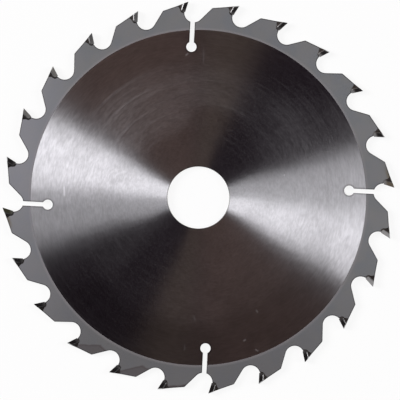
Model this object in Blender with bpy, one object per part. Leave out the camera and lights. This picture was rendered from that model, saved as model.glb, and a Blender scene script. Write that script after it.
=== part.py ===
"""Carbide-tipped circular saw blade: a flat steel plate with a bore, keyhole slots and a tip on each tooth.

The blade lies flat. Z is its axis, and the origin is the centre of the bore at half the plate's thickness.
Seen from +Z the teeth point clockwise. A tooth's own frame has its cutting edge on +Y at the blade's radius,
and +X points ahead, the way the tooth cuts, so its back lies towards -X.
"""
import math

import bmesh
import bpy
from mathutils import Matrix, Vector

# The blade, in metres
BLADE_DIAMETER = 0.190
BORE_DIAMETER = 0.030
BORE_CHAMFER = 0.0002
PLATE_THICKNESS = 0.0016

# Teeth: GULLET_MOUTH runs from a tooth's heel to the cutting edge behind it
TOOTH_COUNT = 24
FIRST_TOOTH_ANGLE = math.radians(2.9)
HOOK_ANGLE = math.radians(20.6)
TOOTH_BACK_ANGLE = math.radians(16.2)
HEEL_RADIUS = 0.0008
GULLET_MOUTH = 0.0120
GULLET_DEPTH = 0.0101
GULLET_RADIUS = 0.00455

# Carbide tips: KERF is the width of the cutting edge, and the sides narrow from it downwards and back
KERF = 0.0026
TIP_LENGTH = 0.0054
TIP_THICKNESS = 0.0018
TIP_CORNER_CHAMFER = 0.0004
TOP_RELIEF_ANGLE = math.radians(16.0)
TOP_BEVEL_ANGLE = math.radians(10.0)
SIDE_CLEARANCE_DOWN = math.radians(1.0)
SIDE_CLEARANCE_BACK = math.radians(2.5)

# Fits
BRAZE_GAP = 0.0003
TIP_ABOVE_TOOTH_BACK = 0.0002
TIP_PROUD_OF_GULLET = 0.00044

# Keyhole expansion slots, each open into a gullet
SLOT_COUNT = 4
SLOT_WIDTH = 0.0021
SLOT_HOLE_DIAMETER = 0.0049
SLOT_HOLE_TO_RIM = 0.0219
SLOT_HOLE_AHEAD_OF_TOOTH = 0.0003
SLOT_LEAN = math.radians(5.7)

# Fineness of the round stretches
BORE_SEGMENTS = 128
GULLET_SEGMENTS = 18
HEEL_SEGMENTS = 4
SEAT_SEGMENTS = 3
SLOT_HOLE_SEGMENTS = 32
SMOOTH_UP_TO = math.radians(30.0)

# Derived
TIP_CIRCLE = BLADE_DIAMETER / 2
BORE_RADIUS = BORE_DIAMETER / 2
TOOTH_PITCH = math.tau / TOOTH_COUNT
CUT_THROUGH = PLATE_THICKNESS * 4
BLADE_CENTRE = Vector((0.0, 0.0))
CUTTING_POINT = Vector((0.0, TIP_CIRCLE))
DOWN_FACE = Vector((-math.sin(HOOK_ANGLE), -math.cos(HOOK_ANGLE)))
INTO_TOOTH = Vector((-math.cos(HOOK_ANGLE), math.sin(HOOK_ANGLE)))
SEAT_WALL = CUTTING_POINT + INTO_TOOTH * (TIP_THICKNESS + BRAZE_GAP)
SEAT_CORNER = SEAT_WALL + DOWN_FACE * (TIP_LENGTH + BRAZE_GAP)


def turned(point, angle):
    """The point turned anticlockwise about the blade's axis."""
    return Matrix.Rotation(angle, 2) @ point


def in_tooth_frame(point, tooth):
    """A point of a tooth's own frame, placed on the blade."""
    return turned(point, FIRST_TOOTH_ANGLE + tooth * TOOTH_PITCH - math.pi / 2)


def falling_back(angle):
    """The direction backwards from a cutting edge that falls away from the tip circle by the angle."""
    return Vector((-math.cos(angle), -math.sin(angle)))


def arc_points(centre, radius, start, end, segments):
    """Points along an arc, both ends included."""
    angles = [start + (end - start) * i / segments for i in range(segments + 1)]
    return [centre + radius * Vector((math.cos(a), math.sin(a))) for a in angles]


def rounded_corner(before, corner, after, radius, segments):
    """The corner of two straight stretches, rounded to the radius or to what the shorter one allows."""
    to_before = before - corner
    to_after = after - corner
    half_angle = to_before.angle(to_after) / 2
    tangent_length = min(radius / math.tan(half_angle), 0.45 * min(to_before.length, to_after.length))
    radius = tangent_length * math.tan(half_angle)
    middle = (to_before.normalized() + to_after.normalized()).normalized()
    centre = corner + middle * (radius / math.sin(half_angle))
    first = corner + to_before.normalized() * tangent_length - centre
    last = corner + to_after.normalized() * tangent_length - centre
    start = math.atan2(first.y, first.x)
    sweep = -first.angle_signed(last)
    return arc_points(centre, radius, start, start + sweep, segments)


def line_crossing(point, direction, other_point, other_direction):
    """Where two lines of the plane cross."""
    across = direction.cross(other_direction)
    return point + direction * ((other_point - point).cross(other_direction) / across)


def first_at_distance(start, direction, centre, distance):
    """The first point along a line that lies at the distance from the centre."""
    offset = start - centre
    along = offset.dot(direction)
    return start - direction * (along + math.sqrt(along ** 2 - offset.length_squared + distance ** 2))


def gullet_centre():
    """Centre of the gullet ahead of a tooth: wall just behind the tip's face, floor at full depth."""
    start = CUTTING_POINT - INTO_TOOTH * (GULLET_RADIUS - TIP_PROUD_OF_GULLET)
    return first_at_distance(start, DOWN_FACE, BLADE_CENTRE, TIP_CIRCLE - GULLET_DEPTH + GULLET_RADIUS)


def seat_top():
    """Top of the seat's back wall, a little below the top of the tip."""
    lowered = CUTTING_POINT - Vector((0.0, TIP_ABOVE_TOOTH_BACK))
    return line_crossing(lowered, falling_back(TOP_RELIEF_ANGLE), SEAT_WALL, DOWN_FACE)


def tooth_heel():
    """Where the tooth's back ends, before its corner is rounded."""
    edge_behind = turned(CUTTING_POINT, TOOTH_PITCH)
    return first_at_distance(seat_top(), falling_back(TOOTH_BACK_ANGLE), edge_behind, GULLET_MOUTH)


def tooth_outline():
    """Plate outline of one tooth in its own frame, anticlockwise: gullet ahead, seat, back, heel."""
    centre = gullet_centre()

    # The flank of the tooth ahead runs down from its heel and meets the gullet without a corner
    to_heel = turned(tooth_heel(), -TOOTH_PITCH) - centre
    flank_end = math.atan2(to_heel.y, to_heel.x) - math.acos(GULLET_RADIUS / to_heel.length)

    # The gullet's wall ends at the seat's floor
    floor_drop = (SEAT_CORNER - centre).dot(DOWN_FACE)
    seat_front = math.asin(floor_drop / GULLET_RADIUS) - HOOK_ANGLE - math.pi
    gullet = arc_points(centre, GULLET_RADIUS, flank_end, seat_front, GULLET_SEGMENTS)

    seat_radius = TIP_CORNER_CHAMFER + BRAZE_GAP
    seat = rounded_corner(gullet[-1], SEAT_CORNER, seat_top(), seat_radius, SEAT_SEGMENTS)
    flank_start = turned(gullet[0], TOOTH_PITCH)
    heel = rounded_corner(seat_top(), tooth_heel(), flank_start, HEEL_RADIUS, HEEL_SEGMENTS)
    return gullet + seat + [seat_top()] + heel


def keyhole_outline(slot):
    """One expansion slot: a round hole and a straight slot from it out through the gullet's floor."""
    tooth = round(slot * TOOTH_COUNT / SLOT_COUNT)
    centre = Vector((SLOT_HOLE_AHEAD_OF_TOOTH, TIP_CIRCLE - SLOT_HOLE_TO_RIM))
    outwards = math.pi / 2 - SLOT_LEAN
    along = Vector((math.cos(outwards), math.sin(outwards)))
    across = Vector((-along.y, along.x)) * (SLOT_WIDTH / 2)
    mouth = centre + along * (SLOT_HOLE_TO_RIM - GULLET_DEPTH + GULLET_RADIUS)
    half_opening = math.asin(SLOT_WIDTH / SLOT_HOLE_DIAMETER)
    first = outwards + half_opening
    last = outwards + math.tau - half_opening
    hole = arc_points(centre, SLOT_HOLE_DIAMETER / 2, first, last, SLOT_HOLE_SEGMENTS)
    return [in_tooth_frame(p, tooth) for p in hole + [mouth - across, mouth + across]]


def finished_mesh(name, body):
    """The bmesh as a mesh with its faces pointing out."""
    bmesh.ops.recalc_face_normals(body, faces=body.faces)
    mesh = bpy.data.meshes.new(name)
    body.to_mesh(mesh)
    body.free()
    return mesh


def extruded(name, outlines, half_height):
    """A mesh of flat closed outlines, each extruded to both sides of the XY plane."""
    body = bmesh.new()
    for outline in outlines:
        ring = [body.verts.new((p.x, p.y, -half_height)) for p in outline]
        face = body.faces.new(ring)
        raised = bmesh.ops.extrude_face_region(body, geom=[face])["geom"]
        top = [v for v in raised if isinstance(v, bmesh.types.BMVert)]
        bmesh.ops.translate(body, verts=top, vec=(0.0, 0.0, 2 * half_height))
    return finished_mesh(name, body)


def metal(name, colour, roughness):
    """A bare metal."""
    material = bpy.data.materials.new(name)
    material.use_nodes = True
    surface = material.node_tree.nodes["Principled BSDF"]
    surface.inputs["Base Color"].default_value = (*colour, 1.0)
    surface.inputs["Metallic"].default_value = 1.0
    surface.inputs["Roughness"].default_value = roughness
    return material


def placed(name, mesh, material=None):
    """A named object for the mesh. A piece with a material is shaded smooth over its blunt edges."""
    if material and not mesh.materials:
        mesh.materials.append(material)
        mesh.shade_smooth()
        mesh.set_sharp_from_angle(angle=SMOOTH_UP_TO)
    thing = bpy.data.objects.new(name, mesh)
    bpy.context.scene.collection.objects.link(thing)
    return thing


def cut(thing, cutter):
    """Cuts one object with another, which stays as a hidden guide."""
    cutter.hide_render = True
    cutter.display_type = "WIRE"
    difference = thing.modifiers.new(cutter.name, "BOOLEAN")
    difference.operation = "DIFFERENCE"
    difference.solver = "EXACT"
    difference.object = cutter


def bore_cutter():
    """The bore with a chamfer at each face, a turned profile."""
    face = PLATE_THICKNESS / 2
    flared = BORE_RADIUS + BORE_CHAMFER + CUT_THROUGH - face
    profile = [
        (0.0, CUT_THROUGH),
        (flared, CUT_THROUGH),
        (BORE_RADIUS, face - BORE_CHAMFER),
        (BORE_RADIUS, BORE_CHAMFER - face),
        (flared, -CUT_THROUGH),
        (0.0, -CUT_THROUGH),
    ]
    body = bmesh.new()
    points = [body.verts.new((radius, 0.0, height)) for radius, height in profile]
    edges = [body.edges.new(pair) for pair in zip(points, points[1:])]
    bmesh.ops.spin(
        body, geom=points + edges, cent=(0, 0, 0), axis=(0, 0, 1), angle=math.tau, steps=BORE_SEGMENTS
    )
    bmesh.ops.remove_doubles(body, verts=body.verts, dist=BORE_CHAMFER / 10)
    return placed("bore_cutter", finished_mesh("bore_cutter", body))


def make_blade_body(material):
    """The plate, cut out in one piece with its teeth, its bore and its slots."""
    outline = [in_tooth_frame(p, tooth) for tooth in range(TOOTH_COUNT) for p in tooth_outline()]
    plate = placed("blade_body", extruded("blade_body", [outline], PLATE_THICKNESS / 2), material)
    keyholes = [keyhole_outline(slot) for slot in range(SLOT_COUNT)]
    cut(plate, bore_cutter())
    cut(plate, placed("slot_cutter", extruded("slot_cutter", keyholes, CUT_THROUGH)))


def grind(block, point, normal):
    """Grinds a flat face on the block: what lies beyond the plane goes."""
    all_of_it = block.verts[:] + block.edges[:] + block.faces[:]
    sliced = bmesh.ops.bisect_plane(
        block, geom=all_of_it, plane_co=point, plane_no=normal, clear_outer=True
    )
    rim = [e for e in sliced["geom_cut"] if isinstance(e, bmesh.types.BMEdge)]
    bmesh.ops.edgeloop_fill(block, edges=rim)


def tip_mesh(name, high_side):
    """A tip in its tooth's frame, its top bevelled down from the high side: 1 for +Z, -1 for -Z."""
    edge = CUTTING_POINT.to_3d()
    down = DOWN_FACE.to_3d()
    back = INTO_TOOTH.to_3d()
    floor = edge + down * TIP_LENGTH
    block = bmesh.new()
    bmesh.ops.create_cube(block, size=4 * (TIP_LENGTH + KERF), matrix=Matrix.Translation(edge))
    grind(block, edge, -back)
    grind(block, floor, down)
    grind(block, edge + back * TIP_THICKNESS, back)
    grind(block, floor + back * (TIP_THICKNESS - TIP_CORNER_CHAMFER), down + back)
    for side in (1, -1):
        narrowing = Vector((-math.tan(SIDE_CLEARANCE_BACK), -math.tan(SIDE_CLEARANCE_DOWN), side))
        grind(block, edge + Vector((0.0, 0.0, side * KERF / 2)), narrowing)
    relief = Vector((-math.tan(TOP_RELIEF_ANGLE), 1.0, -high_side * math.tan(TOP_BEVEL_ANGLE)))
    grind(block, edge + Vector((0.0, 0.0, high_side * KERF / 2)), relief)
    return finished_mesh(name, block)


def make_carbide_tips(material):
    """One tip to a tooth, its high corner on alternate sides."""
    meshes = [tip_mesh("tip_high_above", 1), tip_mesh("tip_high_below", -1)]
    for tooth in range(TOOTH_COUNT):
        tip = placed(f"carbide_tip_{tooth + 1:02d}", meshes[tooth % 2], material)
        tip.rotation_euler.z = FIRST_TOOTH_ANGLE + tooth * TOOTH_PITCH - math.pi / 2


for leftover in list(bpy.data.objects):
    bpy.data.objects.remove(leftover)

make_blade_body(metal("brushed_steel", (0.42, 0.41, 0.43), 0.32))
make_carbide_tips(metal("ground_carbide", (0.10, 0.095, 0.095), 0.38))
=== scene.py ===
import math

import bmesh
import bpy
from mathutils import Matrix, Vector
from mathutils.geometry import delaunay_2d_cdt


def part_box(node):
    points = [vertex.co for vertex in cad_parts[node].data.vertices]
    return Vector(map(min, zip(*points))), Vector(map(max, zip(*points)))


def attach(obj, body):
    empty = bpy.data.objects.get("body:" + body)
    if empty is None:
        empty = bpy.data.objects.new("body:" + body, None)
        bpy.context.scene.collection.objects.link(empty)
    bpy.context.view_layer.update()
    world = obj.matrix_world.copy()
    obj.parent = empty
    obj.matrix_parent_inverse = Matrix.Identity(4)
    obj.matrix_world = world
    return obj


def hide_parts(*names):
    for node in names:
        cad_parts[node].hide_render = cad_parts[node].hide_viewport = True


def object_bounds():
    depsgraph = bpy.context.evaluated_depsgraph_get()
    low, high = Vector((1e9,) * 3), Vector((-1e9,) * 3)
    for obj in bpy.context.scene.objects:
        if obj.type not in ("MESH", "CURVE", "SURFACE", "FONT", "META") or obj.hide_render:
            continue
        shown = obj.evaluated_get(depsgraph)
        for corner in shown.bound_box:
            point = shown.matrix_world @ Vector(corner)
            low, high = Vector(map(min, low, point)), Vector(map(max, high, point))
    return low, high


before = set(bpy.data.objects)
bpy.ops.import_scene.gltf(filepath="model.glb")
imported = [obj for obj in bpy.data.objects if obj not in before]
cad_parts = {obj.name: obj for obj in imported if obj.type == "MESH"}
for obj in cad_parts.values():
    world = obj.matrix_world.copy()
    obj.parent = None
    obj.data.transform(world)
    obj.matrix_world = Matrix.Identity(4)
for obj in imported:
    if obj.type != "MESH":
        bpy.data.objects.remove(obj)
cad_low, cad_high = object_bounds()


# Blade plate
# One flat sheet of hardened carbon steel, cut out by laser with its teeth, bore and keyhole slots. Its faces
# are ground with circular strokes, and the toothed rim is blasted matt once the tips are brazed on.
DISC_RADIUS = 0.0812
HALF_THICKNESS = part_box("blade_body")[1].z
TEETH = 24
FIRST_TOOTH = math.radians(2.9)
PITCH = math.tau / TEETH
SLOTS = 4
# How far out and back the middle of a slot's hole is in the slot's own frame
SLOT_HOLE = (0.0731, -0.0003)
SLOT_HOLE_RADIUS = 0.00245
SLOT_HALF_WIDTH = 0.00105
SLOT_LEAN = math.tan(math.radians(5.7))


class Wire:
    """An output in a shader's tree. Python's operators on it add Math nodes, and node() adds any other."""

    def __init__(self, tree, socket=None):
        self.tree = tree
        self.socket = socket

    def node(self, kind, settings=(), sockets=(), output=0):
        """Adds a node, its settings first, then the values or wires of its sockets. Gives an output."""
        made = self.tree.nodes.new(kind)
        for name, value in dict(settings).items():
            setattr(made, name, value)
        for name, value in dict(sockets).items():
            if isinstance(value, Wire):
                self.tree.links.new(value.socket, made.inputs[name])
            else:
                made.inputs[name].default_value = value
        return Wire(self.tree, made.outputs[output] if made.outputs else None)

    def other(self, output):
        """Another output of the same node."""
        return Wire(self.tree, self.socket.node.outputs[output])

    def math(self, operation, *values):
        return self.node("ShaderNodeMath", {"operation": operation}, dict(enumerate(values)))

    def __add__(self, other):
        return self.math("ADD", self, other)

    def __sub__(self, other):
        return self.math("SUBTRACT", self, other)

    def __rsub__(self, other):
        return self.math("SUBTRACT", other, self)

    def __mul__(self, other):
        return self.math("MULTIPLY", self, other)

    def __truediv__(self, other):
        return self.math("DIVIDE", self, other)

    def __mod__(self, other):
        return self.math("FLOORED_MODULO", self, other)

    __radd__ = __add__
    __rmul__ = __mul__


def new_finish(name):
    """An empty material, and the wire that its nodes are added through."""
    material = bpy.data.materials.new(name)
    material.use_nodes = True
    material.node_tree.nodes.clear()
    return material, Wire(material.node_tree)


def rising(wire, low, high):
    """0 below low, 1 above high, with a soft change between."""
    return wire.node(
        "ShaderNodeMapRange",
        {"interpolation_type": "SMOOTHSTEP"},
        {"Value": wire, "From Min": low, "From Max": high},
    )


def falling(wire, low, high):
    """1 below low, 0 above high, with a soft change between."""
    return 1 - rising(wire, low, high)


def noise(vector, scale, detail=2.0, roughness=0.5):
    return vector.node(
        "ShaderNodeTexNoise",
        sockets={"Vector": vector, "Scale": scale, "Detail": detail, "Roughness": roughness},
    )


def stretched(vector, x, y, z):
    """The vector with each axis scaled by its own amount."""
    return vector.node("ShaderNodeVectorMath", {"operation": "MULTIPLY"}, {0: vector, 1: (x, y, z)})


def mixed(factor, first, second):
    """A colour between two others."""
    sockets = {"Factor": factor, 6: first, 7: second}
    return factor.node("ShaderNodeMix", {"data_type": "RGBA"}, sockets, output=2)


def colour(rgb, scale=1.0):
    return (*(channel * scale for channel in rgb), 1.0)


def bumped(height, distance):
    """A normal raised by the height, where 1 stands for the distance in metres."""
    return height.node("ShaderNodeBump", sockets={"Distance": distance, "Height": height})


def finished(paint, **sockets):
    """Ends a material in one Principled surface. Its sockets are given with underscores for spaces."""
    sockets = {name.replace("_", " "): value for name, value in sockets.items()}
    surface = paint.node("ShaderNodeBsdfPrincipled", sockets=sockets)
    paint.node("ShaderNodeOutputMaterial", sockets={"Surface": surface})


def place_and_radius(paint):
    """The place on the blade, its x and y, and its distance from the axis."""
    place = paint.node("ShaderNodeTexCoord", output="Object")
    x = paint.node("ShaderNodeSeparateXYZ", sockets={"Vector": place})
    y = x.other("Y")
    return place, x, y, paint.math("SQRT", x * x + y * y)


def repeated_place(paint, x, y, radius, angle, margin):
    """How far out and back a point is in the frame of its tooth or slot, and the number of that one."""
    ahead = paint.math("ARCTAN2", y, x) - (FIRST_TOOTH - margin)
    turn = ahead % angle - margin
    number = paint.math("FLOOR", ahead / angle)
    return radius * paint.math("COSINE", turn), radius * paint.math("SINE", turn), number


def broken_edge(paint):
    """1 on the broken edges of the plate."""
    return paint.node("ShaderNodeAttribute", {"attribute_name": "edge"}, output="Fac")


# Size of a grinding stroke: its length as an angle, and its width
STROKE_LENGTH = 0.05
STROKE_WIDTH = 0.0008


def grind(paint, x, y, radius):
    """Short strokes round the axis, longer blotches, still longer streaks and a few thin arcs."""
    sockets = {"X": x / radius / STROKE_LENGTH, "Y": y / radius / STROKE_LENGTH, "Z": radius / STROKE_WIDTH}
    unrolled = paint.node("ShaderNodeCombineXYZ", sockets=sockets)
    strokes = rising(noise(unrolled, 1.0, 4.0, 0.6), 0.28, 0.72)
    blotches = rising(noise(stretched(unrolled, 0.5, 0.5, 0.35), 1.0, 3.0, 0.6), 0.35, 0.65)
    streaks = rising(noise(stretched(unrolled, 0.12, 0.12, 0.7), 1.0, 2.0), 0.35, 0.65)
    arcs = rising(noise(stretched(unrolled, 0.04, 0.04, 1.3), 1.0, 1.0), 0.58, 0.70)
    return strokes, blotches, streaks, arcs


# Far enough from a slot to be out of its line of painted shade
FAR = 0.01


def line_along_slots(paint, x, y, radius):
    """1 along the edge of each slot and of its hole."""
    angle = math.tau / SLOTS
    out, back, _ = repeated_place(paint, x, y, radius, angle, angle / 2)
    past_hole = out - SLOT_HOLE[0]
    from_hole = back - SLOT_HOLE[1]
    off_hole = paint.math("SQRT", past_hole * past_hole + from_hole * from_hole) - SLOT_HOLE_RADIUS
    off_slot = paint.math("ABSOLUTE", from_hole + past_hole * SLOT_LEAN) - SLOT_HALF_WIDTH
    off_slot = off_slot + falling(past_hole, -0.0005, 0.0) * FAR
    return falling(paint.math("MINIMUM", off_hole, off_slot), 0.0002, 0.0010)


SCRATCH_WIDTH = 0.0005
# The middle, direction, half length and depth of each
SCRATCHES = (
    ((-0.0650, 0.0030), 1.60, 0.0030, 1.0),
    ((0.0416, 0.0109), 1.30, 0.0006, 1.0),
    ((0.0025, 0.0690), 1.57, 0.0050, 0.35),
    ((0.0224, -0.0691), 0.60, 0.0010, 0.8),
    ((0.0283, -0.0740), 2.60, 0.0012, 0.8),
    ((0.0283, -0.0550), 2.20, 0.0012, 0.6),
    ((-0.0067, -0.0725), 1.57, 0.0018, 0.4),
    ((-0.0056, 0.0693), 0.60, 0.0012, 0.9),
    ((-0.0019, -0.0584), 1.80, 0.0016, 0.4),
)


def scratches(paint, x, y, z):
    """The depth of each thin straight scratch along its length, on the front face only."""
    depths = 0.0
    for middle, towards, half_length, depth in SCRATCHES:
        c, s = math.cos(towards), math.sin(towards)
        along = (x - middle[0]) * c + (y - middle[1]) * s
        across = (y - middle[1]) * c - (x - middle[0]) * s
        length = falling(paint.math("ABSOLUTE", along), half_length * 0.5, half_length)
        width = falling(paint.math("ABSOLUTE", across), SCRATCH_WIDTH * 0.4, SCRATCH_WIDTH)
        depths = depths + length * width * depth
    return depths * rising(z, 0.0, HALF_THICKNESS)


# How far the lower half of the disc is darkened over most of its area, by the rim, and on the right side half
# way out
DARKENING = 0.16
DARKENING_BY_RIM = 0.14
DARKENING_HALF_WAY = 0.12


def lower_darkening(paint, x, y, radius):
    """How far the lower half of the disc is darkened towards black. Its bounds are in metres from the axis.
    """
    outer_ring = rising(radius, 0.050, 0.070) * falling(x, 0.060, 0.068)
    lower_part = paint.math("MAXIMUM", outer_ring, falling(x, -0.040, -0.015)) * falling(y, -0.006, 0.006)
    by_rim = rising(radius, 0.056, 0.066) * falling(y, -0.046, -0.034)
    half_way = rising(radius, 0.034, 0.048) - rising(radius, 0.060, 0.068)
    half_way = half_way * falling(y, -0.024, -0.013) * rising(x, 0.0, 0.020)
    return 1 - (1 - lower_part * DARKENING) * (1 - by_rim * DARKENING_BY_RIM - half_way * DARKENING_HALF_WAY)


# The share of the light that the film scatters in the haze, at the lower left, on the right, and everywhere
# on the inner part of the disc and on its outer ring
HAZE_FILM = 0.038
LOWER_LEFT_FILM = 0.016
RIGHT_FILM = 0.034
INNER_FILM = 0.008
OUTER_FILM = 0.002
# What its arcs add to that in the haze and elsewhere, and one deep arc on the upper right
HAZE_ARC_FILM = 0.035
ARC_FILM = 0.010
DEEP_ARC_FILM = 0.018
DEEP_ARC_RADIUS = 0.0461


def film(paint, x, y, radius, unevenness, arcs):
    """How much light a thin streaky film scatters, most of it in a haze half way out on the upper half."""
    inner_edge = radius + rising(paint.math("ABSOLUTE", x - 0.010), 0.006, 0.020) * 0.010
    ring = (rising(inner_edge, 0.040, 0.050) - rising(radius, 0.054, 0.072)) * rising(y, -0.005, 0.025)
    haze = ring * (falling(x, -0.020, 0.030) * 0.7 + falling(x, -0.040, -0.015) + 0.3)
    lower_left = falling(radius, 0.048, 0.062) * rising(y - x, -0.002, 0.010) * falling(y, -0.008, 0.0)
    right = rising(x, 0.025, 0.045) * rising(y, 0.010, 0.022) * falling(y, 0.030, 0.060)
    even = falling(radius, 0.058, 0.068) * (INNER_FILM - OUTER_FILM) + OUTER_FILM
    cover = haze * HAZE_FILM + lower_left * LOWER_LEFT_FILM + right * RIGHT_FILM + even
    deep_arc = falling(paint.math("ABSOLUTE", radius - DEEP_ARC_RADIUS), 0.0002, 0.0010)
    deep_arc = deep_arc * (rising(x, -0.006, 0.004) - rising(x, 0.016, 0.026)) * rising(y, 0.0, 0.010)
    arcs = arcs * (haze * HAZE_ARC_FILM + ARC_FILM)
    return cover * unevenness + arcs + deep_arc * DEEP_ARC_FILM


STEEL = (0.62, 0.614, 0.636)
STEEL_DARKEST = 0.84
STEEL_PALEST = 1.16
STEEL_IN_SCRATCH = 1.5
# Painted shade along the slots, the bore and the broken edges
STEEL_IN_EDGE_SHADE = 0.12
BLACK = (0.0, 0.0, 0.0, 1.0)
SCRATCH_FILM = 0.12
ROUGHNESS = 0.285
# Shares of a turn: the way of the grind, along circles, and its small opposite twists by the bore and the rim
ALONG_CIRCLE = 0.25
BORE_TWIST = 0.0098
RIM_TWIST = 0.0024


def ground_steel():
    """Bright steel with fine circular grinding marks, which fan the light out along each radius."""
    material, paint = new_finish("ground_steel")
    place, x, y, radius = place_and_radius(paint)
    strokes, blotches, streaks, arcs = grind(paint, x, y, radius)
    cloud = rising(noise(place, 70.0, 3.0), 0.3, 0.7)
    tone = strokes * 0.5 + blotches * 0.2 + cloud * 0.3
    base = mixed(tone, colour(STEEL, STEEL_DARKEST), colour(STEEL, STEEL_PALEST))
    # Painted shade in a dark line along the slots, the bore and the broken edges
    painted_edge_shade = paint.math("MAXIMUM", line_along_slots(paint, x, y, radius), broken_edge(paint))
    base = mixed(painted_edge_shade * 0.45, base, colour(STEEL, STEEL_IN_EDGE_SHADE))
    scratched = scratches(paint, x, y, x.other("Z"))
    base = mixed(scratched * 0.6, base, colour(STEEL, STEEL_IN_SCRATCH))
    # Darker on the lower half of the disc
    base = mixed(lower_darkening(paint, x, y, radius), base, BLACK)
    unevenness = strokes * 0.2 + blotches * 0.15 + streaks * 0.35 + 0.55
    scattered = film(paint, x, y, radius, unevenness, arcs) + scratched * SCRATCH_FILM
    sockets = {
        "Base Color": base,
        "Metallic": 1 - scattered,
        "Roughness": strokes * 0.03 + ROUGHNESS,
        "Anisotropic": 1.0,
    }
    sockets["Anisotropic Rotation"] = ALONG_CIRCLE - BORE_TWIST
    by_bore = paint.node("ShaderNodeBsdfPrincipled", sockets=sockets)
    sockets["Anisotropic Rotation"] = ALONG_CIRCLE + RIM_TWIST
    by_rim = paint.node("ShaderNodeBsdfPrincipled", sockets=sockets)
    outwards = rising(radius, 0.014, 0.050)
    both = paint.node("ShaderNodeMixShader", sockets={0: outwards, 1: by_bore, 2: by_rim})
    paint.node("ShaderNodeOutputMaterial", sockets={"Surface": both})
    return material


BLASTED_STEEL = (0.252, 0.261, 0.268)
COLD_MOTTLE = (0.234, 0.252, 0.290)
WARM_MOTTLE = (0.299, 0.290, 0.285)
# Painted shade towards the bottom of the rim, and painted light on its left
RIM_IN_PAINTED_SHADE = (0.159, 0.154, 0.159)
RIM_IN_PAINTED_LIGHT = (0.39, 0.39, 0.43)
THIN_BLAST = (0.39, 0.36, 0.37)
SMOKE = (0.085, 0.065, 0.066)
HEAT_TINT = (0.16, 0.12, 0.045)
# Painted shade along the broken edges of the rim
BLASTED_IN_EDGE_SHADE = (0.06, 0.06, 0.065)
# In a tooth's frame, in metres out from the axis and back from the cutting edge: the line of its back, and
# the edge of the smoke, which falls from its start by its slope to its lowest
BACK_TOP = 0.09481
BACK_FALL = math.radians(16.2)
SMOKE_TOP = 0.0913
SMOKE_START = 0.0050
SMOKE_FALL = 0.85
SMOKE_LOWEST = 0.0848
# Counted anticlockwise from the first tooth, and below zero on the lower half
SMOKED_TEETH = (-9, -8)
SCORCHED_TEETH = (-7,)
HOT_TEETH = (0, -12)


def on_teeth(paint, tooth, numbers):
    """1 on the teeth of these numbers."""
    found = 0.0
    for number in numbers:
        found = found + paint.math("COMPARE", tooth, number, 0.1)
    return found


def blasted_steel():
    """Steel blasted to a fine matt grain, with painted shade along its edges and towards the bottom, painted
    light on the left, smoke on three teeth and a tint at two tips.
    """
    material, paint = new_finish("blasted_steel")
    place, x, y, radius = place_and_radius(paint)
    grain = noise(place, 3500.0, 3.0)
    mottle = rising(noise(place, 170.0, 3.0), 0.35, 0.65)
    tint = rising(noise(place, 75.0), 0.4, 0.6)
    base = mixed(grain, colour(BLASTED_STEEL, 0.85), colour(BLASTED_STEEL, 1.15))
    base = mixed(mottle * 0.35, base, colour(COLD_MOTTLE))
    base = mixed(tint * 0.35, base, colour(WARM_MOTTLE))

    # Painted shade darkens it towards the bottom and a little at the top, and painted light makes it paler on
    # the left; it is also paler next to the disc
    painted_shade = falling(y + x * 0.15, -0.085, 0.0) + rising(y, 0.035, 0.085) * 0.2
    base = mixed(painted_shade * 0.62, base, colour(RIM_IN_PAINTED_SHADE))
    pale = falling(x, -0.090, -0.050) * (rising(y, -0.030, 0.020) * 0.3 + 0.25)
    base = mixed(pale, base, colour(RIM_IN_PAINTED_LIGHT))
    band = falling(radius, DISC_RADIUS + 0.0004, DISC_RADIUS + 0.0016)
    base = mixed(band * 0.30, base, colour(THIN_BLAST))

    # Smoke that browned the heels of two teeth, and a scorched back on the next
    out, back, tooth = repeated_place(paint, x, y, radius, PITCH, math.radians(2.5))
    ragged = (noise(place, 350.0) - 0.5) * 0.0012
    smoke_line = paint.math("MAXIMUM", SMOKE_TOP - (back - SMOKE_START) * SMOKE_FALL, SMOKE_LOWEST)
    above = out - smoke_line + ragged
    smoked = on_teeth(paint, tooth, SMOKED_TEETH) * rising(back, 0.0035, 0.0050)
    smoke = rising(above, -0.0005, 0.0005) * smoked
    smoke_edge = falling(above, 0.0004, 0.0012) * smoke
    below_back = (BACK_TOP - out) * math.cos(BACK_FALL) - back * math.sin(BACK_FALL)
    scorch = falling(below_back + ragged, 0.0002, 0.0016) * rising(back, 0.0030, 0.0045)
    scorch = scorch * on_teeth(paint, tooth, SCORCHED_TEETH)
    base = mixed(smoke * 0.42 + smoke_edge * 0.2 + scorch * 0.9, base, colour(SMOKE))

    # Heat tint behind the tips of two opposite teeth
    hot = on_teeth(paint, tooth, HOT_TEETH) * falling(back, 0.006, 0.012)
    base = mixed(hot * falling(below_back, 0.0003, 0.0022) * 0.6, base, colour(HEAT_TINT))
    # Painted shade in a dark line along the broken edges
    base = mixed(broken_edge(paint) * 0.95, base, colour(BLASTED_IN_EDGE_SHADE))
    finished(paint, Base_Color=base, Metallic=1.0, Roughness=0.75, Normal=bumped(grain, 0.000004))
    return material


CUT_STEEL_DARKEST = (0.10, 0.095, 0.09)
CUT_STEEL_PALEST = (0.26, 0.25, 0.24)


def cut_steel():
    """Steel as the laser leaves it, dark, with fine marks straight through the thickness."""
    material, paint = new_finish("laser_cut_steel")
    place = paint.node("ShaderNodeTexCoord", output="Object")
    marks = noise(stretched(place, 5000.0, 5000.0, 300.0), 1.0)
    base = mixed(marks, colour(CUT_STEEL_DARKEST), colour(CUT_STEEL_PALEST))
    finished(paint, Base_Color=base, Metallic=1.0, Roughness=0.5, Normal=bumped(marks, 0.00001))
    return material


SHORTEST_EDGE = 0.00005
SAME_POINT = 1e-6


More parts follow.
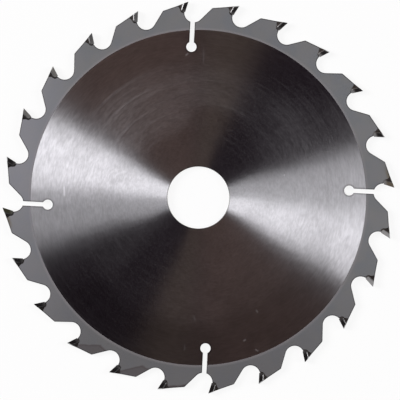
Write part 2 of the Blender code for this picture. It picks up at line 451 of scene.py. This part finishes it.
def upper_outlines(node):
    """The corners round a CAD node's upper face, loop by loop, with the metal on their left."""
    body = bmesh.new()
    body.from_mesh(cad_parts[node].data)
    bmesh.ops.remove_doubles(body, verts=body.verts, dist=SAME_POINT)
    body.verts.index_update()
    following = {}
    for face in body.faces:
        for corner in face.loops:
            if face.normal.z > 0.9 > corner.link_loop_radial_next.face.normal.z:
                following[corner.vert] = corner.link_loop_next.vert
    outlines = []
    while following:
        corner = min(following, key=lambda vertex: vertex.index)
        outline = []
        while corner in following:
            if not outline or (corner.co.xy - outline[-1]).length > SHORTEST_EDGE:
                outline.append(corner.co.xy.copy())
            corner = following.pop(corner)
        outlines.append(outline)
    body.free()
    return sorted(outlines, key=len)


def split_at_disc(outline):
    """The outline with a corner added wherever it crosses the edge of the ground disc."""
    split = []
    for here, after in zip(outline, outline[1:] + outline[:1]):
        split.append(here)
        if (here.length - DISC_RADIUS) * (after.length - DISC_RADIUS) < 0:
            split.append(here.lerp(after, (DISC_RADIUS - here.length) / (after.length - here.length)))
    return split


def inset(outline, distance):
    """The outline moved into the metal with sharp corners. Those on the disc's edge stay on it."""
    moved = []
    for before, here, after in zip(outline[-1:] + outline[:-1], outline, outline[1:] + outline[:1]):
        first, second = (here - before).normalized(), (after - here).normalized()
        left = Vector((-first.y - second.y, first.x + second.x))
        point = here + left * (distance / (1.0 + first.dot(second)))
        if abs(here.length - DISC_RADIUS) < SHORTEST_EDGE:
            point += first * ((DISC_RADIUS - point.length) / first.dot(point.normalized()))
        moved.append(point)

    # An edge that would turn round is drawn together into its middle
    for i, (here, after) in enumerate(zip(outline, outline[1:] + outline[:1])):
        following = (i + 1) % len(moved)
        if (after - here).dot(moved[following] - moved[i]) < 0:
            moved[i] = moved[following] = (moved[i] + moved[following]) / 2
    return moved


DISC_STEP = math.radians(1.5)
# A slot's mouth is narrower than this many steps
MOUTH_STEPS = 5


def disc_arcs(outline):
    """The arcs of the disc's edge between the slots, each with its ends on the outline."""
    gates = [point for point in outline if abs(point.length - DISC_RADIUS) < SAME_POINT]
    gates.sort(key=lambda point: math.atan2(point.y, point.x))
    arcs = []
    for start, end in zip(gates, gates[1:] + gates[:1]):
        first = math.atan2(start.y, start.x)
        sweep = (math.atan2(end.y, end.x) - first) % math.tau
        steps = round(sweep / DISC_STEP)
        if steps > MOUTH_STEPS:
            angles = [first + sweep * step / steps for step in range(1, steps)]
            between = [Vector((math.cos(angle), math.sin(angle))) * DISC_RADIUS for angle in angles]
            arcs.append([start, *between, end])
    return arcs


# The steps from the flat face over a broken edge: how far in from the outline and down from the face each is
RIM_PROFILE = ((0.00045, 0.0), (0.00030, 0.0), (0.00010, 0.0), (0.00003, 0.00003), (0.0, 0.00010))
BORE_PROFILE = ((0.00040, 0.0), (0.0, 0.0), (-0.00020, 0.00020))
SHARP = math.radians(30)


def plate_mesh():
    """The plate with its edges broken, in three finishes: ground disc, blasted rim and cut walls."""
    body = bmesh.new()
    near_edge = body.verts.layers.float.new("edge")
    bore, rim = upper_outlines("blade_body")
    rim = split_at_disc(rim)

    # Rings of corners over both edges of the rim and of the bore
    lines = []
    for outline, profile in ((rim, RIM_PROFILE), (bore, BORE_PROFILE)):
        levels = [(step, HALF_THICKNESS - drop) for step, drop in profile]
        rings = []
        for step, height in levels + [(step, -height) for step, height in reversed(levels)]:
            rings.append([body.verts.new((*point, height)) for point in inset(outline, step)])
            for corner in rings[-1]:
                corner[near_edge] = float(step < profile[0][0])
        for upper, lower in zip(rings, rings[1:]):
            for a, b, c, d in zip(lower, lower[1:] + lower[:1], upper[1:] + upper[:1], upper):
                face = body.faces.new((a, b, c, d))
                flat = abs(face.calc_center_median().z) > HALF_THICKNESS - SAME_POINT
                outside = face.calc_center_median().xy.length > DISC_RADIUS
                face.material_index = int(outside) if flat else 2
                face.smooth = not flat
        lines.append(inset(outline, profile[0][0]))

    # Both flat faces between them, split along the edge of the disc
    points = []
    edges = []
    for line in lines:
        count = len(line)
        edges += [(len(points) + i, len(points) + (i + 1) % count) for i in range(count)]
        points += line
    for arc in disc_arcs(lines[0]):
        edges += [(len(points) + i, len(points) + i + 1) for i in range(len(arc) - 1)]
        points += arc
    corners, _, faces = delaunay_2d_cdt(points, edges, [], 1, 1e-7)[:3]
    bore_edge = lines[1][0].length
    for side in (1.0, -1.0):
        flats = [body.verts.new((*point, HALF_THICKNESS * side)) for point in corners]
        for face in faces:
            middle = sum((corners[i] for i in face), Vector((0.0, 0.0))) / len(face)
            if middle.length > bore_edge:
                flat = body.faces.new([flats[i] for i in (face if side > 0 else reversed(face))])
                flat.material_index = int(middle.length > DISC_RADIUS)
    bmesh.ops.remove_doubles(body, verts=body.verts, dist=SAME_POINT)
    for edge in body.edges:
        rounded = all(face.smooth for face in edge.link_faces)
        edge.smooth = rounded and edge.calc_face_angle(math.pi) < SHARP
    mesh = bpy.data.meshes.new("plate")
    body.to_mesh(mesh)
    body.free()
    return mesh


def linked(name, mesh):
    thing = bpy.data.objects.new(name, mesh)
    bpy.context.scene.collection.objects.link(thing)
    return thing


plate = linked("plate", plate_mesh())
for finish in (ground_steel(), blasted_steel(), cut_steel()):
    plate.data.materials.append(finish)
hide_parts("blade_body")
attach(plate, "root")


# Carbide tips
# Sintered tungsten carbide blocks, one to a tooth, diamond-ground on every side after they are brazed on. The
# CAD solids have the ground shape, and only their finish is added here: a few are dusty or tinted by heat.
FOOT_RADIUS = 0.0914
# The direction from the axis to the dustiest tips
DUSTY_SIDE = (0.906, 0.423)
FOOT_DUST = (0.25, 0.25, 0.25)
FOOT_ROUGHNESS = 0.7
# The colour and roughness of each finish and the numbers of its tips, where a later one replaces an earlier
TIP_FINISHES = {
    "ground_carbide": ((0.11, 0.105, 0.105), 0.28, range(1, TEETH + 1)),
    "dulled_carbide": ((0.13, 0.13, 0.13), 0.60, (8, 9)),
    "dusty_carbide": ((0.21, 0.205, 0.195), 0.65, (10, 11)),
    "pale_dusty_carbide": ((0.38, 0.38, 0.38), 0.65, (23, 24)),
    "brown_carbide": ((0.15, 0.125, 0.095), 0.65, (1,)),
    "olive_carbide": ((0.07, 0.07, 0.045), 0.50, (13,)),
}


def foot_of_tip(x, y, radius, low, high, least, most):
    """1 at the foot of a tip and 0 at its top, scaled from the least up to the most on the dusty side."""
    foot = falling(radius, FOOT_RADIUS + low, FOOT_RADIUS + high)
    dusty = rising(x * DUSTY_SIDE[0] + y * DUSTY_SIDE[1], 0.076, 0.086)
    return foot * (dusty * (most - least) + least)


def carbide_finish(name, tone, roughness):
    """Dark hard metal with a fine straight grind, which mirrors the dark room and is matt at its foot."""
    material, paint = new_finish(name)
    place, x, y, radius = place_and_radius(paint)
    marks = noise(stretched(place, 9000.0, 9000.0, 1500.0), 1.0)
    base = mixed(marks, colour(tone, 0.78), colour(tone, 1.25))
    foot = foot_of_tip(x, y, radius, -0.0009, 0.0009, 0.3, 0.95)
    base = mixed(foot, base, colour(FOOT_DUST))
    rough = foot * (FOOT_ROUGHNESS - roughness) + (marks * 0.1 + roughness)
    finished(paint, Base_Color=base, Metallic=1.0, Roughness=rough, Normal=bumped(marks, 0.000002))
    return material


for name, (tone, roughness, numbers) in TIP_FINISHES.items():
    finish = carbide_finish(name, tone, roughness)
    for number in numbers:
        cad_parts[f"carbide_tip_{number:02d}"].material_slots[0].material = finish


# Braze
# Silver brazing alloy that ran out between each tip and its seat and set in a smooth fillet on both faces of
# the tooth, wide behind the top of the tip and narrow round its foot.
TIP_RADIUS = 0.095
HOOK = math.radians(20.6)
DOWN_FACE = Vector((-math.sin(HOOK), -math.cos(HOOK)))
INTO_TOOTH = Vector((-math.cos(HOOK), math.sin(HOOK)))
# How far into the tooth and down the tip's face, in mm: the tip, the seat and the fillet's end; its height
BRAZE_STATIONS = (
    ((1.80, 1.40), (2.10, 1.80), (4.50, 3.60), 0.40),
    ((1.80, 1.75), (2.10, 2.10), (4.22, 3.80), 0.40),
    ((1.80, 2.40), (2.10, 2.65), (3.74, 4.08), 0.39),
    ((1.80, 3.20), (2.10, 3.40), (3.22, 4.44), 0.37),
    ((1.80, 4.00), (2.10, 4.12), (2.84, 4.84), 0.34),
    ((1.80, 4.60), (2.10, 4.68), (2.60, 5.22), 0.26),
    ((1.80, 4.98), (2.09, 5.02), (2.44, 5.54), 0.16),
    ((1.60, 5.20), (1.89, 5.49), (2.10, 5.86), 0.09),
    ((1.40, 5.40), (1.42, 5.70), (1.50, 6.00), 0.08),
    ((0.90, 5.40), (0.90, 5.70), (0.90, 5.96), 0.08),
    ((0.40, 5.40), (0.34, 5.70), (0.40, 5.88), 0.08),
)
# The fillet is steep next to the tip, over this length and at most this share of its reach, where its points
# have these shares of the length and of its height. Its thin rest meets the face beyond the last share.
STEEP_LENGTH = 0.00068
STEEP_SHARE = 0.7
STEEP_PROFILE = ((0.0, 1.0), (0.35, 0.62), (0.70, 0.28), (1.0, 0.09))
THIN_SHARE = 0.93
# It overlaps the tip by this in mm, and its thin end runs under the face by this in metres
TIP_OVERLAP = 0.02
BURIED = 0.00002
FILLET_SHARP = math.radians(50)


def braze_mesh():
    """The filler of one tooth, in the place of a tooth whose cutting edge is on +X."""
    def on_tooth(into, down):
        point = Vector((0.0, TIP_RADIUS)) + (INTO_TOOTH * into + DOWN_FACE * down) / 1000
        return Vector((point.y, -point.x))

    body = bmesh.new()
    rings = []
    for tip, seat, end, rise in BRAZE_STATIONS:
        root = on_tooth(tip[0] - TIP_OVERLAP, tip[1])
        wall = on_tooth(*seat)
        reach = on_tooth(*end) - root
        steep = min(STEEP_LENGTH, reach.length * STEEP_SHARE)
        section = []
        for along, height in STEEP_PROFILE:
            place = root + reach.normalized() * (steep * along)
            section.append((place, HALF_THICKNESS + rise * height / 1000))
        section.append((root + reach * THIN_SHARE, HALF_THICKNESS + BURIED))
        section.append((root + reach, HALF_THICKNESS - BURIED))
        section.append((wall, HALF_THICKNESS - BURIED))
        both = section + [(point, -height) for point, height in reversed(section)]
        rings.append([body.verts.new((*point, height)) for point, height in both])
    for here, after in zip(rings, rings[1:]):
        for a, b, c, d in zip(here, here[1:] + here[:1], after[1:] + after[:1], after):
            body.faces.new((a, b, c, d))
    body.faces.new(rings[0])
    body.faces.new(rings[-1])
    for face in body.faces:
        face.smooth = True
    bmesh.ops.recalc_face_normals(body, faces=body.faces)
    mesh = bpy.data.meshes.new("braze")
    body.to_mesh(mesh)
    body.free()
    mesh.set_sharp_from_angle(angle=FILLET_SHARP)
    return mesh


FLUX_DARKEST = (0.045, 0.04, 0.038)
FLUX_PALEST = (0.10, 0.09, 0.085)
DUSTY_BRAZE = (0.20, 0.20, 0.20)
SCRAPED_BRAZE = (0.17, 0.17, 0.17)


def silver_braze():
    """Brazing alloy, scraped bright where it climbs the tip and black with flux further out on the tooth."""
    material, paint = new_finish("silver_braze")
    place, x, y, radius = place_and_radius(paint)
    height = paint.math("ABSOLUTE", x.other("Z"))
    lumps = noise(place, 900.0)
    climbing = rising(height, HALF_THICKNESS + 0.00005, HALF_THICKNESS + 0.00012)
    foot = foot_of_tip(x, y, radius, -0.0012, 0.0006, 0.1, 0.8)
    base = mixed(lumps, colour(FLUX_DARKEST), colour(FLUX_PALEST))
    base = mixed(foot, base, colour(DUSTY_BRAZE))
    base = mixed(climbing, base, colour(SCRAPED_BRAZE))
    rough = lumps * 0.14 + foot * 0.15 + 0.38
    finished(paint, Base_Color=base, Metallic=1.0, Roughness=rough, Normal=bumped(lumps, 0.00002))
    return material


LUMP_SCALE = 700.0
HALF = (0.5, 0.5, 0.5)


def round_the_blade(material):
    """The node tree that sets a part of one tooth at every tooth and makes each a little uneven."""
    tree = bpy.data.node_groups.new("round_the_blade", "GeometryNodeTree")
    face = tree.interface
    face.new_socket("Geometry", in_out="INPUT", socket_type="NodeSocketGeometry")
    face.new_socket("Teeth", in_out="INPUT", socket_type="NodeSocketInt")
    face.new_socket("First tooth", in_out="INPUT", socket_type="NodeSocketFloat")
    face.new_socket("Unevenness", in_out="INPUT", socket_type="NodeSocketFloat")
    face.new_socket("Geometry", in_out="OUTPUT", socket_type="NodeSocketGeometry")
    add = Wire(tree).node
    given = add("NodeGroupInput")
    number = add("GeometryNodeInputIndex")
    teeth = add("GeometryNodePoints", sockets={"Count": given.other("Teeth")})
    turn = number * PITCH + given.other("First tooth")
    rotation = add("ShaderNodeCombineXYZ", sockets={"Z": turn})
    sockets = {"Points": teeth, "Instance": given, "Rotation": rotation}
    copies = add("GeometryNodeInstanceOnPoints", sockets=sockets)
    whole = add("GeometryNodeRealizeInstances", sockets={"Geometry": copies})
    sockets = {"Vector": add("GeometryNodeInputPosition"), "Scale": LUMP_SCALE}
    lumps = add("ShaderNodeTexNoise", sockets=sockets, output=1)
    centred = add("ShaderNodeVectorMath", {"operation": "SUBTRACT"}, {0: lumps, 1: HALF})
    sockets = {0: centred, "Scale": given.other("Unevenness")}
    push = add("ShaderNodeVectorMath", {"operation": "SCALE"}, sockets)
    uneven = add("GeometryNodeSetPosition", sockets={"Geometry": whole, "Offset": push})
    painted = add("GeometryNodeSetMaterial", sockets={"Geometry": uneven, "Material": material})
    add("NodeGroupOutput", sockets={"Geometry": painted})
    return tree


def grown(name, mesh, tree, inputs):
    """A plain mesh object of what a tree makes of a mesh, with the tree's inputs given by name."""
    thing = linked(name, mesh)
    growth = thing.modifiers.new("growth", "NODES")
    growth.node_group = tree
    for item in tree.interface.items_tree:
        if item.in_out == "INPUT" and item.name in inputs:
            growth[item.identifier] = inputs[item.name]
    evaluated = thing.evaluated_get(bpy.context.evaluated_depsgraph_get())
    result = bpy.data.meshes.new_from_object(evaluated)
    thing.modifiers.remove(growth)
    thing.data = result
    return thing


inputs = {"Teeth": TEETH, "First tooth": FIRST_TOOTH, "Unevenness": 0.00004}
braze = grown("braze_fillets", braze_mesh(), round_the_blade(silver_braze()), inputs)
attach(braze, "root")


# Studio
# The blade lies on a pale floor under one softbox on its left, a dimmer one on its right and two faint warm
# panels beyond its top edge. The camera looks straight down.
CAMERA_HEIGHT = 4.0
CAMERA_OFFSET = (0.00077, -0.00118)
VIEW_WIDTH = 0.19375
VIEW_DEPTH = 20.0

camera = bpy.data.objects.new("camera", bpy.data.cameras.new("camera"))
bpy.context.scene.collection.objects.link(camera)
camera.location = (*CAMERA_OFFSET, CAMERA_HEIGHT)
camera.data.lens = camera.data.sensor_width * CAMERA_HEIGHT / VIEW_WIDTH
camera.data.clip_end = VIEW_DEPTH
bpy.context.scene.camera = camera

FLOOR_HALF_WIDTH = 6.0
FLOOR_GAP = 0.00002
FLOOR_TONE = (0.85, 0.85, 0.85, 1.0)
WHITE = (1.0, 1.0, 1.0, 1.0)
FLOOR_GLOW = 0.9


def floor_finish():
    """Pale matt board, which the camera and reflections see close to white."""
    material, paint = new_finish("pale_board")
    matt = paint.node("ShaderNodeBsdfDiffuse", sockets={"Color": FLOOR_TONE})
    glow = paint.node("ShaderNodeEmission", sockets={"Color": WHITE, "Strength": 1.0})
    path = paint.node("ShaderNodeLightPath")
    seen = paint.math("MAXIMUM", path.other("Is Camera Ray"), path.other("Is Glossy Ray"))
    seen = paint.math("MAXIMUM", seen, path.other("Is Transmission Ray"))
    board = paint.node("ShaderNodeMixShader", sockets={0: seen * FLOOR_GLOW, 1: matt, 2: glow})
    paint.node("ShaderNodeOutputMaterial", sockets={"Surface": board})
    return material


floor_body = bmesh.new()
bmesh.ops.create_grid(floor_body, x_segments=1, y_segments=1, size=FLOOR_HALF_WIDTH)
floor_mesh = bpy.data.meshes.new("floor")
floor_body.to_mesh(floor_mesh)
floor_body.free()
floor = linked("floor", floor_mesh)
floor.location.z = cad_low.z - FLOOR_GAP
floor.data.materials.append(floor_finish())

LAMP_DISTANCE = 4.0
SOFTBOX_TINT = (0.985, 0.98, 1.0)
WARM_TINT = (1.0, 0.655, 0.49)
OLIVE_TINT = (1.0, 0.75, 0.53)


def softbox(name, azimuth, zenith, width, height, brightness, tint):
    """A panel lamp that faces the blade. Its brightness is what a mirror would show of it."""
    lamp = bpy.data.lights.new(name, "AREA")
    lamp.shape = "RECTANGLE"
    lamp.size = width
    lamp.size_y = height
    lamp.color = tint
    lamp.energy = brightness * math.pi * width * height
    holder = bpy.data.objects.new(name, lamp)
    bpy.context.scene.collection.objects.link(holder)
    a, z = math.radians(azimuth), math.radians(zenith)
    towards = Vector((math.sin(z) * math.cos(a), math.sin(z) * math.sin(a), math.cos(z)))
    holder.location = towards * LAMP_DISTANCE
    holder.rotation_euler = towards.to_track_quat("Z", "Y").to_euler()
    holder.visible_camera = False


softbox("key_softbox", 164, 60, 1.36, 1.6, 30.4, SOFTBOX_TINT)
softbox("side_softbox", 5.8, 60, 1.39, 1.6, 13.4, SOFTBOX_TINT)
softbox("warm_panel", 119, 45, 3.0, 2.0, 0.62, WARM_TINT)
softbox("olive_panel", 78.5, 45, 0.85, 2.0, 0.51, OLIVE_TINT)

HORIZON = (0.8, 0.8, 0.8, 1.0)
DARK_ROOM = (0.011, 0.0057, 0.0097, 1.0)

world = bpy.data.worlds.new("studio")
bpy.context.scene.world = world
world.use_nodes = True
world.node_tree.nodes.clear()
sky = Wire(world.node_tree)
direction = sky.node("ShaderNodeTexCoord", output="Generated")
height = sky.node("ShaderNodeSeparateXYZ", sockets={"Vector": direction}, output="Z")
room = mixed(rising(height, 0.05, 0.35), HORIZON, DARK_ROOM)
lit = sky.node("ShaderNodeBackground", sockets={"Color": room, "Strength": 1.0})
white = sky.node("ShaderNodeBackground", sockets={"Color": WHITE, "Strength": 1.0})
camera_ray = sky.node("ShaderNodeLightPath", output="Is Camera Ray")
backdrop = sky.node("ShaderNodeMixShader", sockets={0: camera_ray, 1: lit, 2: white})
sky.node("ShaderNodeOutputWorld", sockets={"Surface": backdrop})

bpy.context.scene.view_settings.view_transform = "Standard"
